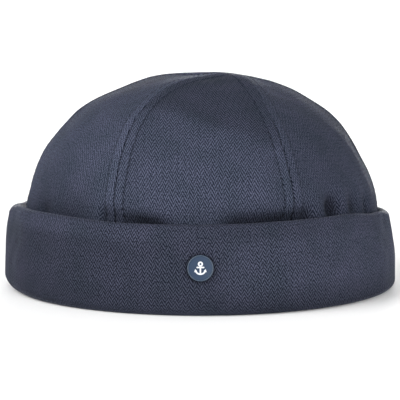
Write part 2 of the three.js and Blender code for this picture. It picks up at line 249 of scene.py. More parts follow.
# The sewing: pressed-open seams with a row of stitches on each side
SEAM_BAND_HALF = 5  # from the seam to the stitches, at the edge of its raised band
SEAM_BAND_RISE = 0.5
SEAM_BAND_EDGE = 1.8  # width of the edge's slope
SEAM_GROOVE_DEPTH = 0.8
SEAM_GROOVE_HALF = 0.36
STITCH_PITCH = 3.6
DIMPLE_DEPTH = 0.6  # of the cloth round a needle hole
DIMPLE_ASIDE = 0.42  # half its width across the seam
DIMPLE_ALONG = 0.75
SEWING_TOP = 0.55  # of a panel's rise, above which the sewing grows shallower
SEWING_FADE = 0.225  # of a panel's rise, over which it does
SEWING_TOP_SHARE = 0.35  # of the grooves and needle holes, what is left above
BAND_TOP_SHARE = 0.5  # and of the raised bands
THREAD_LENGTH = 2.3
THREAD_RADIUS = 0.22
THREAD_LIFT = 0.16  # of a stitch's middle above its ends
THREAD_SINK = 0.12  # of its ends below the cloth's face
THREAD_BLUNTNESS = 4
THREAD_TIP = 0.12  # the square of how thick a stitch's ends are, as a share of its middle
THREAD_STEP = 0.1  # over which the direction across the seam is measured
THREAD_RINGS = 7
THREAD_SIDES = 6

# Painted shade: how much darker the crown's cloth is painted in its hollows, at its needle holes
# and in its seams, where shade falls
FULL_HOLLOW = 4  # depth at which a hollow's painted shade is darkest
HOLLOW_PAINTED_SHADE = 0.46
HOLE_PAINTED_SHADE = 0.8
GROOVE_PAINTED_SHADE = 0.35
BAND_PAINTED_LIGHT = 0.1  # painted light: how much lighter the seams' raised bands are painted, for the light they catch

# How the painted light and shade of the cuff's table spread over it
FOLD_PAINTED_SHADE_TOP = 17  # height up to which that of the lower fold reaches
RIM_PAINTED_SHADING_HEIGHT = 8  # how far down that of the top edge reaches
RIM_PAINTED_SHADING_SOFT = 6
FOOT_PAINTED_LIGHT = 0.5  # painted light: how much lighter the cloth is painted where it leaves the ground, for light from the floor
FOOT_PAINTED_LIGHT_TOP = 2.6
BADGE_PAINTED_SHADOW = 0.55  # painted shadow: how much darker it is painted along the badge's rim, where the badge shades the cuff
BADGE_PAINTED_SHADOW_WIDE = 1.2

# A panel's columns lie at these distances from each seam, and evenly between the last ones
SEAM_COLUMNS = [0, 0.2, 0.45, 0.8, 1.3, 2, 2.8, 3.5, 4, 4.4, 4.75, 5.1, 5.45, 5.8, 6.3, 7]
MIDDLE_COLUMNS = 40
NARROW_PANEL = 1.2  # in times the last one: where half a panel is less, they draw together
PANEL_ROWS = 260
RISE_STEPS = 801  # at which a panel's width and length are measured
SHARP_ANGLE = 60  # degrees between two faces, from which the edge between them is sharp
LEFT, MIDDLE, RIGHT = range(3)  # the lines up a panel along which its lengths are measured

# The badge
BADGE_HEIGHT = 23.3  # of its middle
BADGE_RADIUS = 6.2
CAP_DEPTH = 1.8
CAP_RIM = 0.5
SINK_DEPTH = 1  # of the cap's floor behind its rim
FACE_DEPTH = 0.6
FACE_PLAY = 0.1  # between the face and the rim
FACE_DOME = 0.1  # how far the face's middle stands out
FACE_DOME_POWER = 4  # how flat its middle is
ROUND = 0.22  # radius of the cap's edges
ROUND_STEPS = 6
BADGE_SIDES = 96
FACE_SIDES = 192
FACE_RINGS = 90

# The anchor in relief on the badge
ANCHOR_HEIGHT = 6.4
ANCHOR_STROKE = 0.75
ANCHOR_RELIEF = 0.3
ANCHOR_EYE = 0.85  # radius of its ring, to the middle of the stroke
ANCHOR_STOCK = 3  # length of the crossbar
ANCHOR_ARMS = 2.5  # radius of the arms
ANCHOR_ARMS_SPREAD = 68  # degrees that each arm climbs from the foot
ANCHOR_EDGE = 0.12  # width of the relief's slope
FLUKE_LENGTH = 1.5

# The corners of a fluke, outward and up, as shares of its length away from the arm's tip
FLUKE_CORNERS = [(-0.55, -0.1), (0.45, -0.45), (0.1, 0.6)]

# The herringbone
WEAVE_WIDTH = 3.3  # of one whole zigzag
WEAVE_BREAK = 0.42  # by how much of a pitch the ribs are out of step where they turn
WEAVE_UNEVEN = 0.3  # by how much the ribs that climb to the left are fainter
WEAVE_STEEPNESS = 1.6  # how fast a rib's colour turns from dark to light
WEAVE_CONTRAST = 0.95
WEAVE_DEPTH = 0.16
WEAVE_WANDERS = [(0.03, 3), (0.5, 0.15)]  # noises that bend the ribs: scale and reach

# Noises over the cloth: their scale per millimetre and detail, and under LEVELS what their
# values are multiplied by and what is added
GRAIN = (1.1, 3)
GRAIN_LEVELS = (2, 0.05)
GRAIN_RELIEF = 0.4  # as a share of the ribs' relief
FLECKS = (1.4, 0)
FLECK_LEVELS = (2.4, -0.2)
CLOUDS = (0.06, 3)
CLOUD_LEVELS = (2, -0.5)
CLOUD_TINTS = [(0.8, 0.86, 0.83, 1), (1.2, 1.14, 1.17, 1)]


class Wool(NamedTuple):
    """The look of a woollen cloth or thread."""

    dark: tuple  # linear red, green, blue and alpha between the ribs
    light: tuple  # and on them
    sheen: float
    pitch: float  # from rib to rib, up the cloth
    climb: float  # of a rib from a zigzag's valley to its peak


CROWN_WOOL = Wool((0.003, 0.005, 0.011, 1), (0.067, 0.076, 0.114, 1), 0.03, 2.3, 3.2)
CUFF_WOOL = Wool((0.003, 0.004, 0.009, 1), (0.06, 0.067, 0.1, 1), 0.15, 1.84, 2.25)
THREAD_WOOL = Wool((0.006, 0.008, 0.013, 1), (0.045, 0.052, 0.078, 1), 0.03, 2.3, 3.2)
WOOL_ROUGHNESS = 0.95
WOOL_SHINE = 0.06
SHEEN_ROUGHNESS = 0.12
SHEEN_TINT = (0.75, 0.8, 0.95, 1)


class Gloss(NamedTuple):
    """The look of enamel or metal."""

    colour: tuple
    roughness: float
    shine: float
    metallic: float = 0
    relief: tuple | None = None  # the colour of what is raised


CAP_METAL = Gloss((0.026, 0.05, 0.085, 1), 0.28, 0.55)
FACE_ENAMEL = Gloss((0.009, 0.027, 0.062, 1), 0.38, 0.28, relief=(0.6, 0.62, 0.66, 1))
RIVET_STEEL = Gloss((0.5, 0.5, 0.52, 1), 0.35, 0.5, metallic=1)
GLOSS_CLOUDS = (400, 3)  # scale per metre, and detail
GLOSS_DARK = 0.85  # of the colour, where the clouds are darkest
GLOSS_UNEVEN = 0.12  # how much rougher it is where they are lightest

FLOOR_HALF = 20  # metres from the middle to an edge
FLOOR_COLOUR = (0.93, 0.93, 0.93, 1)
FLOOR_ROUGHNESS = 0.9
FLOOR_SHINE = 0.1

# The studio's brightness from straight below, at 0, to straight above, at 1: a bright horizon
# that fades to a darker ceiling, and little light from below
STUDIO = [(0.3, 0.12), (0.5, 1), (0.62, 0.7), (1, 0.2)]
STUDIO_STRENGTH = 1.35


class Sun(NamedTuple):
    """A soft light from far away, so that the floor is as bright behind the hat as before it."""

    name: str
    azimuth: float
    elevation: float
    strength: float
    spread: float  # degrees


SUNS = [
    Sun("key_light", -62, 38, 2.4, 45),
    Sun("fill_light", 26, 8, 3.1, 45),
    Sun("left_rim_light", -175, 2, 0.9, 12),
    Sun("right_rim_light", 175, 2, 4.5, 12),
    Sun("back_light", 180, 4, 1.5, 16),
]

# The camera, as the photo was taken
CAMERA_LENS = 253.8
CAMERA_SENSOR = 36  # width in millimetres
CAMERA_PLACE = (-0.0002, -1.43, 0.226)  # metres
CAMERA_TILT = 82.685  # degrees up from straight down


def unit(vectors):
    return vectors / np.linalg.norm(vectors, axis=-1, keepdims=True)


def mix(start, end, share):
    return start + (end - start) * share


def ease(share):
    """A smooth step from 0 to 1."""
    share = np.clip(share, 0, 1)
    return share * share * (3 - 2 * share)


def turn_between(start, end):
    """The shortest turn from one azimuth to another, in degrees."""
    return (end - start + 180) % 360 - 180


def azimuth_of(place):
    return np.degrees(np.arctan2(place[..., 0], -place[..., 1]))


def rippled(place, ripples):
    """How far some ripples stand out, together, at places in space."""
    height = 0
    for ripple in ripples:
        random = np.random.default_rng(ripple.seed)
        directions = unit(random.normal(size=(RIPPLE_WAVES, 3)))
        lengths = ripple.wavelength * random.uniform(*RIPPLE_SPREAD, RIPPLE_WAVES)
        phases = random.uniform(0, 2 * math.pi, RIPPLE_WAVES)
        angles = place @ directions.T * (2 * math.pi / lengths) + phases
        height += ripple.height * (np.sin(angles).sum(axis=-1) / math.sqrt(RIPPLE_WAVES))
    return height


def cuff_at(column, azimuth):
    """A column of the cuff's table at some azimuths, eased from row to row round the hat."""
    first = CUFF_ROWS[0].azimuth
    starts = np.array([row.azimuth - first for row in CUFF_ROWS] + [360.0])
    values = np.array([getattr(row, column) for row in [*CUFF_ROWS, CUFF_ROWS[0]]])
    turn = (azimuth - first) % 360
    left = np.searchsorted(starts, turn, side="right") - 1
    share = (turn - starts[left]) / (starts[left + 1] - starts[left])
    return mix(values[left], values[left + 1], (1 - np.cos(math.pi * share)) / 2)


def dome_point(right, back):
    """Places on the dome, and outward directions, over shares of the half width and length."""
    reach = np.minimum(1, np.hypot(right, back))
    rise = (1 - reach**PLAN_POWER) ** (1 / RISE_POWER)
    place = np.stack(
        [
            CROWN_HALF_WIDTH * right + DOME_LEAN * rise,
            CROWN_HALF_LENGTH * back,
            WALL_TOP + DOME_RISE * rise,
        ],
        axis=-1,
    )
    steepness = PLAN_POWER * reach ** (PLAN_POWER - 2)
    out_right = steepness * right / CROWN_HALF_WIDTH
    out_back = steepness * back / CROWN_HALF_LENGTH
    slant = (RISE_POWER * rise ** (RISE_POWER - 1) - DOME_LEAN * out_right) / DOME_RISE
    return place, unit(np.stack([out_right, out_back, slant], axis=-1))


def smooth_crown(azimuth, swing, rise):
    """Places, outward directions and reach along lines from the crown's edge to the apex."""
    angle = np.radians(azimuth)
    climb = np.clip((rise - WALL_SHARE) / (1 - WALL_SHARE), 0, 1) ** (RISE_POWER / 2)
    reach = np.cos(climb * math.acos(APEX_HOLE / CROWN_HALF_WIDTH))
    drift = 1 - reach**2
    sideways = swing * reach * drift
    right = reach * np.sin(angle) + APEX_RIGHT * drift + sideways * np.cos(angle)
    back = -reach * np.cos(angle) + APEX_BACK * drift + sideways * np.sin(angle)
    place, outward = dome_point(right, back)
    wall = mix(LEG_TOP + GAP, WALL_TOP, rise / WALL_SHARE)
    place[..., 2] = np.where(rise < WALL_SHARE, wall, place[..., 2])
    return place, outward, reach


def nearness(place, azimuth, spot):
    """1 in the middle of a dent or a shade, and fading to 0 all round it."""
    aside = turn_between(spot.azimuth, azimuth) / spot.wide
    above = (place[..., 2] - spot.height) / spot.tall
    return np.exp(-(aside**2) - above**2)


def dent_depth(place):
    """How deep the crown's dents are, together, at some places."""
    azimuth = azimuth_of(place)
    return sum(dent.depth * nearness(place, azimuth, dent) for dent in DENTS)


def crown_painted_shade(place):
    """How much painted shade darkens the crown's cloth at some places."""
    azimuth = azimuth_of(place)
    above = place[..., 2] - cuff_at("top", azimuth)
    dark = RIM_PAINTED_SHADE * ease(1 - above / RIM_PAINTED_SHADE_TOP)
    for shade in CROWN_PAINTED_SHADES:
        dark += shade.dark * nearness(place, azimuth, shade)
    return dark


def fold_depth(place):
    """How far the crown is tucked in by its folds at some places."""
    azimuth = azimuth_of(place)
    depth = np.zeros(azimuth.shape)
    for fold in FOLDS:
        from_start = turn_between(fold.start, azimuth)
        share = from_start / turn_between(fold.start, fold.end)
        top = mix(fold.start_top, fold.end_top, np.clip(share, 0, 1))
        to_end = turn_between(azimuth, fold.end)
        ends = ease(from_start / fold.start_soft + 0.5) * ease(to_end / fold.end_soft + 0.5)
        depth += fold.depth * ends * ease((top - place[..., 2]) / FOLD_SOFT + 0.5)
    return depth


def crease(place, beside):
    """How far the front panel stands out along its crease, and how much painted shade lies above
    it. beside is the distance from the nearer seam."""
    azimuth = azimuth_of(place)
    above = place[..., 2] - CREASE_HEIGHT - CREASE_SLANT * azimuth
    rounded = CREASE_ROUND - np.hypot(above, CREASE_ROUND)
    slope = np.where(above < 0, CREASE_BELOW, CREASE_ABOVE)
    rise = CREASE_BULGE * np.exp(rounded / slope) * ease(beside / CREASE_EDGE)
    wavy = above + rippled(place, CREASE_RIPPLES)
    # Painted shade above the crease
    dark = CREASE_PAINTED_SHADE * ease(wavy / CREASE_PAINTED_SHADE_SOFT + 0.5)
    return rise, dark


def half_way_share(reach):
    """0 at the dome's foot and at the apex, and 1 about half way up."""
    highest = 2 / (3 * math.sqrt(3))
    return reach * (1 - reach**2) / highest


class Panel:
    """One panel of the crown, as a surface over shares across and up it."""

    def __init__(self, left, right):
        self.name = left.panel
        self.tone = left.tone
        self.rows = left.rows
        self.left = left
        self.right = right
        self.span = turn_between(left.azimuth, right.azimuth)
        self.steps = np.linspace(0, 1, RISE_STEPS)
        self.widths = np.linalg.norm(self.line(0)[0] - self.line(1)[0], axis=-1)
        self.lengths = [self.length_up(across) for across in (0, 0.5, 1)]

    def smooth(self, across, rise):
        azimuth = self.left.azimuth + self.span * across
        swing = mix(self.left.swing, self.right.swing, across)
        return smooth_crown(azimuth, swing, rise)

    def line(self, across):
        return self.smooth(across, self.steps)

    def length_up(self, across):
        steps = np.linalg.norm(np.diff(self.line(across)[0], axis=0), axis=-1)
        return np.concatenate([[0], np.cumsum(steps)])

    def width(self, rise):
        return np.interp(rise, self.steps, self.widths)

    def length(self, which, rise):
        """Length up the left seam, the middle or the right seam."""
        return np.interp(rise, self.steps, self.lengths[which])

    def rise_at(self, which, length):
        return np.interp(length, self.lengths[which], self.steps)

    def sewing(self, across, rise):
        """How far the sewing raises the cloth, and its painted shade and light: shade in the
        grooves and needle holes, light on the raised bands.
        """
        width = self.width(rise)
        nearer_left = across < 0.5
        beside = np.where(nearer_left, across, 1 - across) * width
        along = np.where(nearer_left, self.length(LEFT, rise), self.length(RIGHT, rise))
        band = ease((SEAM_BAND_HALF + SEAM_BAND_EDGE / 2 - beside) / SEAM_BAND_EDGE)
        groove = np.exp(-((beside / SEAM_GROOVE_HALF) ** 2))
        from_dimple = (along + STITCH_PITCH / 2) % STITCH_PITCH - STITCH_PITCH / 2
        dimple = np.exp(
            -(((beside - SEAM_BAND_HALF) / DIMPLE_ASIDE) ** 2)
            - (from_dimple / DIMPLE_ALONG) ** 2
        )
        faded = ease((rise - SEWING_TOP) / SEWING_FADE)
        band = band * mix(1, BAND_TOP_SHARE, faded)
        deep = mix(1, SEWING_TOP_SHARE, faded)
        deep = deep * np.where(nearer_left, self.left.groove, self.right.groove)
        dimple = dimple * deep * self.rows * (width > 2 * SEAM_BAND_HALF)
        groove = groove * deep
        raised = SEAM_BAND_RISE * band - SEAM_GROOVE_DEPTH * groove - DIMPLE_DEPTH * dimple
        # Painted shade in the needle holes and the groove, and painted light on the raised band
        return raised, HOLE_PAINTED_SHADE * dimple + GROOVE_PAINTED_SHADE * groove - BAND_PAINTED_LIGHT * band

    def surface(self, across, rise):
        """Places on the cloth's outer face, the smooth form's outward directions there and
        the cloth's tone, painted light and shade which multiplies its colour."""
        place, outward, reach = self.smooth(across, rise)
        arch = 1 - (2 * across - 1) ** 2
        hollow = dent_depth(place) + fold_depth(place)
        raised, dark = self.sewing(across, rise)
        raised = raised - PANEL_FLATTENING * arch * half_way_share(reach) - hollow
        # Painted shade in the hollows and folds, and the crown's painted shades
        dark = dark + HOLLOW_PAINTED_SHADE * ease(hollow / FULL_HOLLOW) + crown_painted_shade(place)
        if self.name == "crown_panel_front":
            beside = np.minimum(across, 1 - across) * self.width(rise)
            creased, above = crease(place, beside)
            raised = raised + creased
            dark = dark + above
        raised = raised + rippled(place, CROWN_RIPPLES)
        # Painted light and shade: the panel's tone, darkened by the painted shades
        tone = self.tone * (1 - np.minimum(dark, MOST_PAINTED_SHADE))
        return place + outward * raised[..., None], outward, tone


PANELS = [Panel(seam, SEAMS[(i + 1) % len(SEAMS)]) for i, seam in enumerate(SEAMS)]


def cuff_face(azimuth, height):
    """How far the cuff's outer face stands outside the crown's wall."""
    top = cuff_at("top", azimuth)
    roll = cuff_at("roll", azimuth)
    rise = np.maximum(0, (top - WALL_TOP) / DOME_RISE)
    plan = (1 - rise**RISE_POWER) ** (1 / PLAN_POWER)
    edge = cuff_at("slit", azimuth) + roll - (1 - plan) * CROWN_HALF_WIDTH
    share = np.clip((height - BELLY_HEIGHT) / (top - roll / 2 - BELLY_HEIGHT), 0, None)
    return mix(cuff_at("reach", azimuth), edge, share**CUFF_TAPER_POWER)


def arc(middle_out, middle_up, radius_out, radius_up, start, end, steps):
    """Points on part of an ellipse, as distances and heights with a row for each point."""
    angles = np.radians(np.linspace(start, end, steps))[:, None]
    return middle_out + radius_out * np.cos(angles), middle_up + radius_up * np.sin(angles)


def cuff_section(azimuth):
    """The cuff's section at some azimuths: distances outside the crown's wall, and heights."""
    top = cuff_at("top", azimuth)
    roll = cuff_at("roll", azimuth)
    corner = cuff_at("corner", azimuth)
    reach = cuff_at("reach", azimuth)
    roll_height = top - roll / 2
    inner = INNER_CORNER - CLOTH
    pocket = (reach - CUFF_CLOTH) / 2
    leg = np.array([[float(LEG_TOP)]])

    def face(shares, thickness):
        heights = mix(BELLY_HEIGHT, roll_height, shares[:, None])
        return cuff_face(azimuth, heights) - thickness, heights

    edge = cuff_face(azimuth, roll_height) - roll / 2
    pocket_height = FOOT_THICKNESS + POCKET_ROUND
    stretches = [
        arc(inner, INNER_CORNER, INNER_CORNER, INNER_CORNER, 180, 270, INNER_CORNER_ROWS),
        arc(reach - corner, corner, corner, corner, 270, 360, OUTER_CORNER_ROWS),
        face(np.linspace(0, 1, OUTER_FACE_ROWS, endpoint=False), 0),
        arc(edge, roll_height, roll / 2, roll / 2, 0, 180, ROLL_ROWS),
        face(np.linspace(0, 1, INNER_FACE_ROWS, endpoint=False)[::-1], CUFF_CLOTH),
        arc(pocket, pocket_height, pocket, POCKET_ROUND, 360, 180, POCKET_ROWS),
        (0 * leg, leg),
        (0 * leg - CLOTH, leg),
    ]
    return [
        np.concatenate([np.broadcast_to(values, (len(values), len(azimuth))) for values in part])
        for part in zip(*stretches)
    ]


def beside_crown(azimuth, out, height):
    """Places at distances outside the crown's wall, square to its plan."""
    angle = np.radians(azimuth)
    place, outward = dome_point(np.sin(angle), -np.cos(angle))
    shape = np.broadcast_shapes(np.shape(out), np.shape(height), place.shape[:-1])
    place = np.broadcast_to(place, (*shape, 3)) + outward * np.broadcast_to(out, shape)[..., None]
    place[..., 2] = height
    return place


def grid_faces(rows, columns, start=0, close_rows=False, close_columns=False):
    """Quads over a grid of vertices, counted row by row."""
    row = np.arange(rows if close_rows else rows - 1)
    column = np.arange(columns if close_columns else columns - 1)
    row, column = np.meshgrid(row, column, indexing="ij")
    after_row = (row + 1) % rows
    after_column = (column + 1) % columns
    corners = [(row, column), (row, after_column), (after_row, after_column), (after_row, column)]
    quads = np.stack([r * columns + c for r, c in corners], axis=-1).reshape(-1, 4)
    return quads + start


def make_piece(name, points, faces, material, weave=None, tone=None):
    """A smooth mesh that rides on the hat. weave gives each face corner's place on the cloth,
    and tone gives each vertex's lightness: painted light and shade on the cloth, the anchor on
    the badge."""
    mesh = bpy.data.meshes.new(name)
    mesh.from_pydata((points * MM).tolist(), [], faces)
    if weave is not None:
        layer = mesh.uv_layers.new(name="Weave")
        layer.data.foreach_set("uv", weave.reshape(-1).astype(np.float32))
    if tone is not None:
        layer = mesh.attributes.new("tone", "FLOAT", "POINT")
        layer.data.foreach_set("value", tone.reshape(-1).astype(np.float32))
    mesh.materials.append(material)
    mesh.polygons.foreach_set("use_smooth", np.ones(len(mesh.polygons), bool))
    mesh.set_sharp_from_angle(angle=math.radians(SHARP_ANGLE))
    mesh.update()
    piece = bpy.data.objects.new(name, mesh)
    bpy.context.scene.collection.objects.link(piece)
    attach(piece, "root")
    return piece


def sheet_faces(rows, columns):
    """Faces of a closed sheet: an outer grid, an inner grid and the edges between them."""
    count = rows * columns
    outer = grid_faces(rows, columns)
    inner = grid_faces(rows, columns, start=count)[:, ::-1]
    index = np.arange(count).reshape(rows, columns)
    rims = [index[0, :], index[:, -1], index[-1, ::-1], index[::-1, 0]]
    edges = [np.stack([r[1:], r[:-1], r[:-1] + count, r[1:] + count], axis=-1) for r in rims]
    return np.concatenate([outer, inner, *edges])


def panel_columns(width):
    """The columns' distances from the left seam in rows where a panel is so wide."""
    width = width[:, None]
    near = np.array(SEAM_COLUMNS) * np.minimum(1, width / 2 / (SEAM_COLUMNS[-1] * NARROW_PANEL))
    far = (width - near)[:, ::-1]
    middle = mix(near[:, -1:], far[:, :1], np.linspace(0, 1, MIDDLE_COLUMNS + 1))
    return np.concatenate([near[:, :-1], middle, far[:, 1:]], axis=1)


def crown_panel(panel, material):
    """A panel's cloth, whose weave runs up its middle."""
    along = np.linspace(0, panel.lengths[MIDDLE][-1], PANEL_ROWS + 1)
    rise = panel.rise_at(MIDDLE, along)
    width = panel.width(rise)
    aside = panel_columns(width)
    width, rise, along = (np.broadcast_to(v[:, None], aside.shape) for v in (width, rise, along))
    place, outward, tone = panel.surface(aside / width, rise)
    points = np.concatenate([place.reshape(-1, 3), (place - outward * CLOTH).reshape(-1, 3)])
    faces = sheet_faces(*aside.shape)
    weave = np.stack([aside - width / 2, along], axis=-1)
    weave = np.concatenate([weave.reshape(-1, 2)] * 2)[faces]
    tone = np.tile(tone.reshape(-1), 2)
    name = panel.name + "_cloth"
    piece = make_piece(name, points, faces.tolist(), material, weave, tone)
    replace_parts(piece, panel.name)


def threads(panel, which):
    """The stitches on a panel beside its left or right seam. Each is a thread from one needle
    hole to the next, as rings of points round its line."""
    middles = np.arange(0.5, panel.lengths[which][-1] / STITCH_PITCH) * STITCH_PITCH
    wide = panel.width(panel.rise_at(which, middles)) > 2 * SEAM_BAND_HALF
    middles = middles[wide & (middles >= LEG_TOP)]
    share = np.linspace(-1, 1, THREAD_RINGS)
    rise = panel.rise_at(which, middles[:, None] + share * THREAD_LENGTH / 2)

    def line(beside):
        across = beside / panel.width(rise)
        return panel.surface(across if which == LEFT else 1 - across, rise)

    middle, outward, _ = line(SEAM_BAND_HALF)
    aside = unit(line(SEAM_BAND_HALF + THREAD_STEP)[0] - middle)[..., None, :]
    bow = 1 - share**THREAD_BLUNTNESS
    middle = middle + outward * (THREAD_LIFT * bow - THREAD_SINK)[:, None]
    radius = THREAD_RADIUS * np.sqrt(np.maximum(bow, THREAD_TIP))
    turn = np.linspace(0, 2 * math.pi, THREAD_SIDES, endpoint=False)[:, None]
    ring = np.cos(turn) * aside + np.sin(turn) * outward[..., None, :]
    return middle[..., None, :] + radius[:, None, None] * ring


def stitches(material):
    """All the crown's stitches, as one piece."""
    rings = np.concatenate([threads(panel, side) for panel in PANELS for side in (LEFT, RIGHT)])
    size = THREAD_RINGS * THREAD_SIDES
    starts = np.arange(len(rings))[:, None, None] * size
    sides = grid_faces(THREAD_RINGS, THREAD_SIDES, close_columns=True) + starts
    first = np.arange(THREAD_SIDES)
    ends = np.stack([first[::-1], first + size - THREAD_SIDES]) + starts
    faces = sides.reshape(-1, 4).tolist() + ends.reshape(-1, THREAD_SIDES).tolist()
    points = rings.reshape(-1, 3)
    tone = np.ones(len(points))
    make_piece("crown_stitches", points, faces, material, tone=tone)


def lengths_along(points):
    """Lengths from the first point on, along a closed line."""
    steps = np.linalg.norm(np.diff(points, axis=0, append=points[:1]), axis=-1)
    return np.concatenate([0 * steps[:1], np.cumsum(steps, axis=0)])


def cuff_painted_shading(azimuth, place, height):
    """The painted light and shade that multiplies the colour of the cuff's cloth, with a painted
    shadow round the badge.
    """
    under_top = cuff_at("top", azimuth) - height
    at_rim = ease((RIM_PAINTED_SHADING_HEIGHT - under_top) / RIM_PAINTED_SHADING_SOFT + 0.5)
    tone = mix(cuff_at("tone", azimuth), cuff_at("rim_painted_shading", azimuth), at_rim)
    tone = mix(tone, cuff_at("fold_painted_shade", azimuth), ease(1 - height / FOLD_PAINTED_SHADE_TOP))
    # Painted light from the floor along the foot
    tone = tone * (1 + FOOT_PAINTED_LIGHT * ease(1 - height / FOOT_PAINTED_LIGHT_TOP))
    # Painted shadow round the badge
    from_badge = np.linalg.norm(place - badge_place(np.zeros((1, 3))), axis=-1) - BADGE_RADIUS
    return tone * (1 - BADGE_PAINTED_SHADOW * np.exp(-((from_badge / BADGE_PAINTED_SHADOW_WIDE) ** 2)))


def cuff_ring(material):
    """The cuff's cloth. Its weave breaks at the back, as at a seam, and out of sight on the
    inside of the leg."""
    azimuth = np.linspace(-180, 180, CUFF_COLUMNS, endpoint=False)
    out, up = cuff_section(azimuth)
    place = beside_crown(azimuth, out, up)
    _, outward = dome_point(np.sin(np.radians(azimuth)), -np.cos(np.radians(azimuth)))
    above_foot = ease((up - CUFF_RIPPLE_FOOT) / CUFF_RIPPLE_SOFT)
    place = place + outward * (above_foot * rippled(place, CUFF_RIPPLES))[..., None]
    rows, columns = up.shape
    faces = grid_faces(rows, columns, close_rows=True, close_columns=True)[:, ::-1]
    across = lengths_along(place[CUFF_WEAVE_ROW])
    along = lengths_along(place).mean(axis=1)
    row, column = np.meshgrid(np.arange(rows), np.arange(columns), indexing="ij")
    corners = [(row, column), (row, column + 1), (row + 1, column + 1), (row + 1, column)]
    weave = np.stack([np.stack([across[c], along[r]], axis=-1) for r, c in corners], axis=2)
    weave = weave.reshape(-1, 4, 2)[:, ::-1]
    tone = cuff_painted_shading(azimuth, place, up)
    points = place.reshape(-1, 3)
    name = "turn_up_cuff_cloth"
    piece = make_piece(name, points, faces.tolist(), material, weave, tone)
    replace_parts(piece, "turn_up_cuff")


def badge_place(points):
    """Moves points from the badge's own frame, whose z points out of the cuff, to the hat."""
    azimuth = np.array(0.0)
    below, above = cuff_face(azimuth, BADGE_HEIGHT + np.array([-1, 1]) * BADGE_RADIUS)
    lean = math.atan2(2 * BADGE_RADIUS, below - above)
    middle = beside_crown(azimuth, cuff_face(azimuth, BADGE_HEIGHT), BADGE_HEIGHT)
    right = [1, 0, 0]
    up = [0, math.cos(lean), math.sin(lean)]
    out = [0, -math.sin(lean), math.cos(lean)]
    return middle + points @ np.array([right, up, out])


def rounded(radius, front, start, end):
    """Points on an edge of the cap's profile, which is rounded about a middle."""
    angles = np.radians(np.linspace(start, end, ROUND_STEPS))
    return [(radius + ROUND * math.cos(a), front + ROUND * math.sin(a)) for a in angles]


def closed_faces(rings, sides):
    """Faces over rings of vertices, with a vertex after them that closes each end."""
    count = rings * sides
    last = count - sides
    step = np.arange(sides)
    after = (step + 1) % sides
    back = np.stack([after, step, np.full(sides, count)], axis=-1)
    front = np.stack([last + step, last + after, np.full(sides, count + 1)], axis=-1)
    between = grid_faces(rings, sides, close_columns=True)
    return between.tolist() + back.tolist() + front.tolist()


def turned(name, profile, material):
    """A closed piece of the badge, turned about its axis. The profile starts and ends on it."""
    profile = np.array(profile)
    turn = np.linspace(0, 2 * math.pi, BADGE_SIDES, endpoint=False)
    radius, front = profile[1:-1, :1], profile[1:-1, 1:]
    rings = np.stack([radius * np.cos(turn), radius * np.sin(turn), front + 0 * turn], axis=-1)
    ends = [[0, 0, profile[0, 1]], [0, 0, profile[-1, 1]]]
    points = badge_place(np.concatenate([rings.reshape(-1, 3), ends]))
    return make_piece(name, points, closed_faces(len(rings), BADGE_SIDES), material)


def badge_cap(material):
    """The metal cap, a shallow cup with a rounded rim."""
    front = GAP + CAP_DEPTH
    inside = BADGE_RADIUS - CAP_RIM
    profile = [
        (0, GAP),
        *rounded(BADGE_RADIUS - ROUND, GAP + ROUND, -90, 0),
        *rounded(BADGE_RADIUS - ROUND, front - ROUND, 0, 90),
        *rounded(inside + ROUND, front - ROUND, 90, 180),
        (inside, front - SINK_DEPTH),
        (0, front - SINK_DEPTH),
    ]
    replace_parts(turned("badge_cap_metal", profile, material), "badge_cap")


def segment_distance(x, y, start, end):
    """How far points lie from a straight line between two others."""
    along = np.array(end) - start
    share = ((x - start[0]) * along[0] + (y - start[1]) * along[1]) / (along @ along)
    share = np.clip(share, 0, 1)
    return np.hypot(x - start[0] - share * along[0], y - start[1] - share * along[1])


def anchor_distance(x, y):
    """How far points on the badge's face lie outside the anchor, which is negative inside."""
    half = ANCHOR_STROKE / 2
    foot = half - ANCHOR_HEIGHT / 2
    eye_height = ANCHOR_HEIGHT / 2 - ANCHOR_EYE - half
    shank_top = eye_height - ANCHOR_EYE
    stock_height = shank_top - ANCHOR_STROKE
    arms_height = foot + ANCHOR_ARMS
    spread = math.radians(ANCHOR_ARMS_SPREAD)
    tip = (ANCHOR_ARMS * math.sin(spread), arms_height - ANCHOR_ARMS * math.cos(spread))
    side = np.abs(x)
    eye = np.abs(np.hypot(x, y - eye_height) - ANCHOR_EYE)
    shank = segment_distance(x, y, (0, foot), (0, shank_top))
    stock = segment_distance(side, y, (0, stock_height), (ANCHOR_STOCK / 2, stock_height))
    on_arms = np.arctan2(side, arms_height - y) < spread
    arms = np.abs(np.hypot(x, y - arms_height) - ANCHOR_ARMS)
    arms = np.where(on_arms, arms, np.hypot(side - tip[0], y - tip[1]))
    corners = np.array(tip) + FLUKE_LENGTH * np.array(FLUKE_CORNERS)
    edges = []
    for start, end in zip(corners, np.roll(corners, -1, axis=0)):
        run, climb = end - start
        edges.append(((side - start[0]) * climb - (y - start[1]) * run) / math.hypot(run, climb))
    fluke = np.max(edges, axis=0)
    return np.minimum(np.minimum.reduce([eye, shank, stock, arms]) - half, fluke)


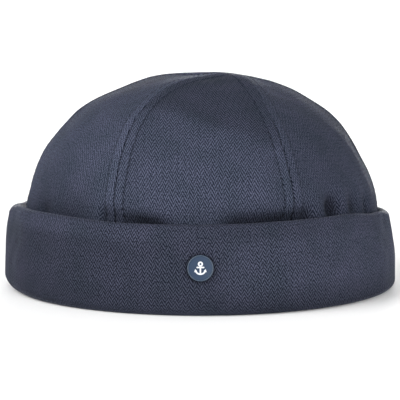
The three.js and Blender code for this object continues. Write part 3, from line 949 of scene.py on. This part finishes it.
def badge_face(material):
    """The enamel disc, with the anchor in relief, whose tone is 1 on the anchor."""
    back = GAP + CAP_DEPTH - SINK_DEPTH + GAP
    front = back + FACE_DEPTH
    radius = BADGE_RADIUS - CAP_RIM - FACE_PLAY
    turn = np.linspace(0, 2 * math.pi, FACE_SIDES, endpoint=False)
    reach = radius * np.linspace(1, 0, FACE_RINGS, endpoint=False)[:, None]
    x = reach * np.cos(turn)
    y = reach * np.sin(turn)
    raised = ease(0.5 - anchor_distance(x, y) / ANCHOR_EDGE)
    domed = FACE_DOME * (1 - (reach / radius) ** FACE_DOME_POWER)
    rings = np.stack([x, y, front + domed + ANCHOR_RELIEF * raised], axis=-1)
    edge = np.stack([x[0], y[0], np.full(FACE_SIDES, back)], axis=-1)
    points = np.concatenate([edge, rings.reshape(-1, 3)])
    ends = [[0, 0, back], [0, 0, front + FACE_DOME + ANCHOR_RELIEF]]
    points = badge_place(np.concatenate([points, ends]))
    faces = closed_faces(FACE_RINGS + 1, FACE_SIDES)
    tone = np.concatenate([np.zeros(FACE_SIDES), raised.reshape(-1), [0, 1]])
    name = "badge_face_enamel"
    piece = make_piece(name, points, faces, material, tone=tone)
    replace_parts(piece, "badge_face")


def plug(tree, made, inputs):
    """Sets a node's inputs, by name or number, to values or to other nodes' outputs."""
    for name, value in inputs.items():
        if isinstance(value, bpy.types.NodeSocket):
            tree.links.new(value, made.inputs[name])
        else:
            made.inputs[name].default_value = value


def node(tree, kind, inputs=None, **settings):
    made = tree.nodes.new(kind)
    for name, value in settings.items():
        setattr(made, name, value)
    plug(tree, made, inputs or {})
    return made


def maths(tree, operation, *values):
    return node(tree, "ShaderNodeMath", dict(enumerate(values)), operation=operation).outputs[0]


def vector_maths(tree, operation, inputs):
    return node(tree, "ShaderNodeVectorMath", inputs, operation=operation).outputs[0]


def noise(tree, place, scale, detail, output="Fac"):
    inputs = {"Vector": place, "Scale": scale, "Detail": detail}
    return node(tree, "ShaderNodeTexNoise", inputs).outputs[output]


def mixed(tree, share, start, end, blend="MIX"):
    inputs = {0: share, 6: start, 7: end}
    return node(tree, "ShaderNodeMix", inputs, data_type="RGBA", blend_type=blend).outputs[2]


def tone_of(tree):
    """The tone that a piece's vertices have: painted light and shade on the cloth, the anchor on
    the badge.
    """
    return node(tree, "ShaderNodeAttribute", attribute_name="tone").outputs["Fac"]


def new_material(name):
    material = bpy.data.materials.new(name)
    material.use_nodes = True
    tree = material.node_tree
    tree.nodes.clear()
    shader = node(tree, "ShaderNodeBsdfPrincipled")
    node(tree, "ShaderNodeOutputMaterial", {"Surface": shader.outputs[0]})
    return material, tree, shader


def moved_by(tree, place, scale, reach):
    """A place on the cloth, pushed about by a smooth noise."""
    push = noise(tree, place, scale, 1, "Color")
    push = vector_maths(tree, "SUBTRACT", {0: push, 1: (0.5, 0.5, 0.5)})
    push = vector_maths(tree, "SCALE", {0: push, "Scale": reach})
    return vector_maths(tree, "ADD", {0: place, 1: push})


def wool(name, look):
    """Herringbone wool over the Weave map, whose units are millimetres."""
    material, tree, shader = new_material(name)
    place = node(tree, "ShaderNodeUVMap", uv_map="Weave").outputs["UV"]
    moved = place
    for scale, reach in WEAVE_WANDERS:
        moved = moved_by(tree, moved, scale, reach)
    split = node(tree, "ShaderNodeSeparateXYZ", {0: moved}).outputs
    column = maths(tree, "DIVIDE", split["X"], WEAVE_WIDTH)
    rising = maths(tree, "LESS_THAN", maths(tree, "FRACT", column), 0.5)
    climbed = maths(tree, "MULTIPLY", maths(tree, "PINGPONG", column, 0.5), 2 * look.climb)
    phase = maths(tree, "DIVIDE", maths(tree, "ADD", split["Y"], climbed), look.pitch)
    phase = maths(tree, "MULTIPLY_ADD", rising, WEAVE_BREAK, phase)
    ridge = maths(tree, "MULTIPLY", maths(tree, "PINGPONG", phase, 0.5), 2)
    lit = maths(tree, "MULTIPLY_ADD", rising, WEAVE_UNEVEN, 1 - WEAVE_UNEVEN)
    thread = maths(tree, "MULTIPLY", maths(tree, "SUBTRACT", ridge, 0.5), WEAVE_STEEPNESS)
    thread = maths(tree, "MINIMUM", maths(tree, "MAXIMUM", thread, -0.5), 0.5)
    thread = maths(tree, "MULTIPLY", thread, WEAVE_CONTRAST)
    thread = maths(tree, "MULTIPLY_ADD", thread, lit, 0.5)
    grain = noise(tree, place, *GRAIN)
    thread = maths(tree, "MULTIPLY", thread, maths(tree, "MULTIPLY_ADD", grain, *GRAIN_LEVELS))
    flecks = noise(tree, place, *FLECKS)
    thread = maths(tree, "MULTIPLY", thread, maths(tree, "MULTIPLY_ADD", flecks, *FLECK_LEVELS))
    base = mixed(tree, thread, look.dark, look.light)
    clouds = maths(tree, "MULTIPLY_ADD", noise(tree, place, *CLOUDS), *CLOUD_LEVELS)
    base = mixed(tree, 1.0, base, mixed(tree, clouds, *CLOUD_TINTS), "MULTIPLY")
    # Painted light and shade: the vertices' tone scales the cloth's colour
    base = vector_maths(tree, "SCALE", {0: base, "Scale": tone_of(tree)})
    relief = maths(tree, "MULTIPLY_ADD", grain, GRAIN_RELIEF, ridge)
    bump = {"Height": relief, "Distance": WEAVE_DEPTH * MM, "Strength": 1.0}
    inputs = {
        "Base Color": base,
        "Normal": node(tree, "ShaderNodeBump", bump).outputs[0],
        "Roughness": WOOL_ROUGHNESS,
        "Specular IOR Level": WOOL_SHINE,
        "Sheen Weight": look.sheen,
        "Sheen Roughness": SHEEN_ROUGHNESS,
        "Sheen Tint": SHEEN_TINT,
    }
    plug(tree, shader, inputs)
    return material


def gloss(name, look):
    """Enamel or metal, slightly uneven in its colour and gloss."""
    material, tree, shader = new_material(name)
    clouds = noise(tree, node(tree, "ShaderNodeTexCoord").outputs["Object"], *GLOSS_CLOUDS)
    darkest = (*(GLOSS_DARK * channel for channel in look.colour[:3]), 1)
    base = mixed(tree, clouds, darkest, look.colour)
    if look.relief:
        base = mixed(tree, tone_of(tree), base, look.relief)
    inputs = {
        "Base Color": base,
        "Roughness": maths(tree, "MULTIPLY_ADD", clouds, GLOSS_UNEVEN, look.roughness),
        "Metallic": look.metallic,
        "Specular IOR Level": look.shine,
    }
    plug(tree, shader, inputs)
    return material


def stage_floor():
    """A plain pale floor, too wide for its edges to show."""
    mesh = bpy.data.meshes.new("floor")
    corners = [(-1, -1), (1, -1), (1, 1), (-1, 1)]
    corners = [(FLOOR_HALF * right, FLOOR_HALF * back, 0) for right, back in corners]
    mesh.from_pydata(corners, [], [(0, 1, 2, 3)])
    material, tree, shader = new_material("floor_paint")
    inputs = {
        "Base Color": FLOOR_COLOUR,
        "Roughness": FLOOR_ROUGHNESS,
        "Specular IOR Level": FLOOR_SHINE,
    }
    plug(tree, shader, inputs)
    mesh.materials.append(material)
    floor = bpy.data.objects.new("floor", mesh)
    bpy.context.scene.collection.objects.link(floor)


def add_sun(sun):
    data = bpy.data.lights.new(sun.name, "SUN")
    data.energy = sun.strength
    data.angle = math.radians(sun.spread)
    lamp = bpy.data.objects.new(sun.name, data)
    lamp.rotation_euler = (math.radians(90 - sun.elevation), 0, math.radians(sun.azimuth))
    bpy.context.scene.collection.objects.link(lamp)


def studio():
    world = bpy.data.worlds.new("studio")
    world.use_nodes = True
    tree = world.node_tree
    tree.nodes.clear()
    direction = node(tree, "ShaderNodeTexCoord").outputs["Generated"]
    height = node(tree, "ShaderNodeSeparateXYZ", {0: direction}).outputs["Z"]
    ramp = node(tree, "ShaderNodeValToRGB", {0: maths(tree, "MULTIPLY_ADD", height, 0.5, 0.5)})
    stops = ramp.color_ramp.elements
    stops[0].position = STUDIO[0][0]
    stops[1].position = STUDIO[-1][0]
    for position, _ in STUDIO[1:-1]:
        stops.new(position)
    for stop, (_, brightness) in zip(stops, STUDIO):
        stop.color = (brightness, brightness, brightness, 1)
    light = {"Color": ramp.outputs[0], "Strength": STUDIO_STRENGTH}
    background = node(tree, "ShaderNodeBackground", light)
    node(tree, "ShaderNodeOutputWorld", {"Surface": background.outputs[0]})
    bpy.context.scene.world = world


def place_camera():
    data = bpy.data.cameras.new("camera")
    data.lens = CAMERA_LENS
    data.sensor_width = CAMERA_SENSOR
    camera = bpy.data.objects.new("camera", data)
    camera.location = CAMERA_PLACE
    camera.rotation_euler = (math.radians(CAMERA_TILT), 0, 0)
    bpy.context.scene.collection.objects.link(camera)
    bpy.context.scene.camera = camera


crown_wool = wool("crown_wool_look", CROWN_WOOL)
cuff_wool = wool("cuff_wool_look", CUFF_WOOL)
thread_wool = wool("thread_look", THREAD_WOOL)

for panel in PANELS:
    crown_panel(panel, crown_wool)
cuff_ring(cuff_wool)
stitches(thread_wool)
badge_cap(gloss("badge_metal_look", CAP_METAL))
badge_face(gloss("badge_enamel_look", FACE_ENAMEL))
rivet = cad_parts["badge_rivet"]
rivet.data.materials.clear()
rivet.data.materials.append(gloss("rivet_steel_look", RIVET_STEEL))

stage_floor()
studio()
for sun in SUNS:
    add_sun(sun)
bpy.context.scene.view_settings.view_transform = "Standard"
place_camera()
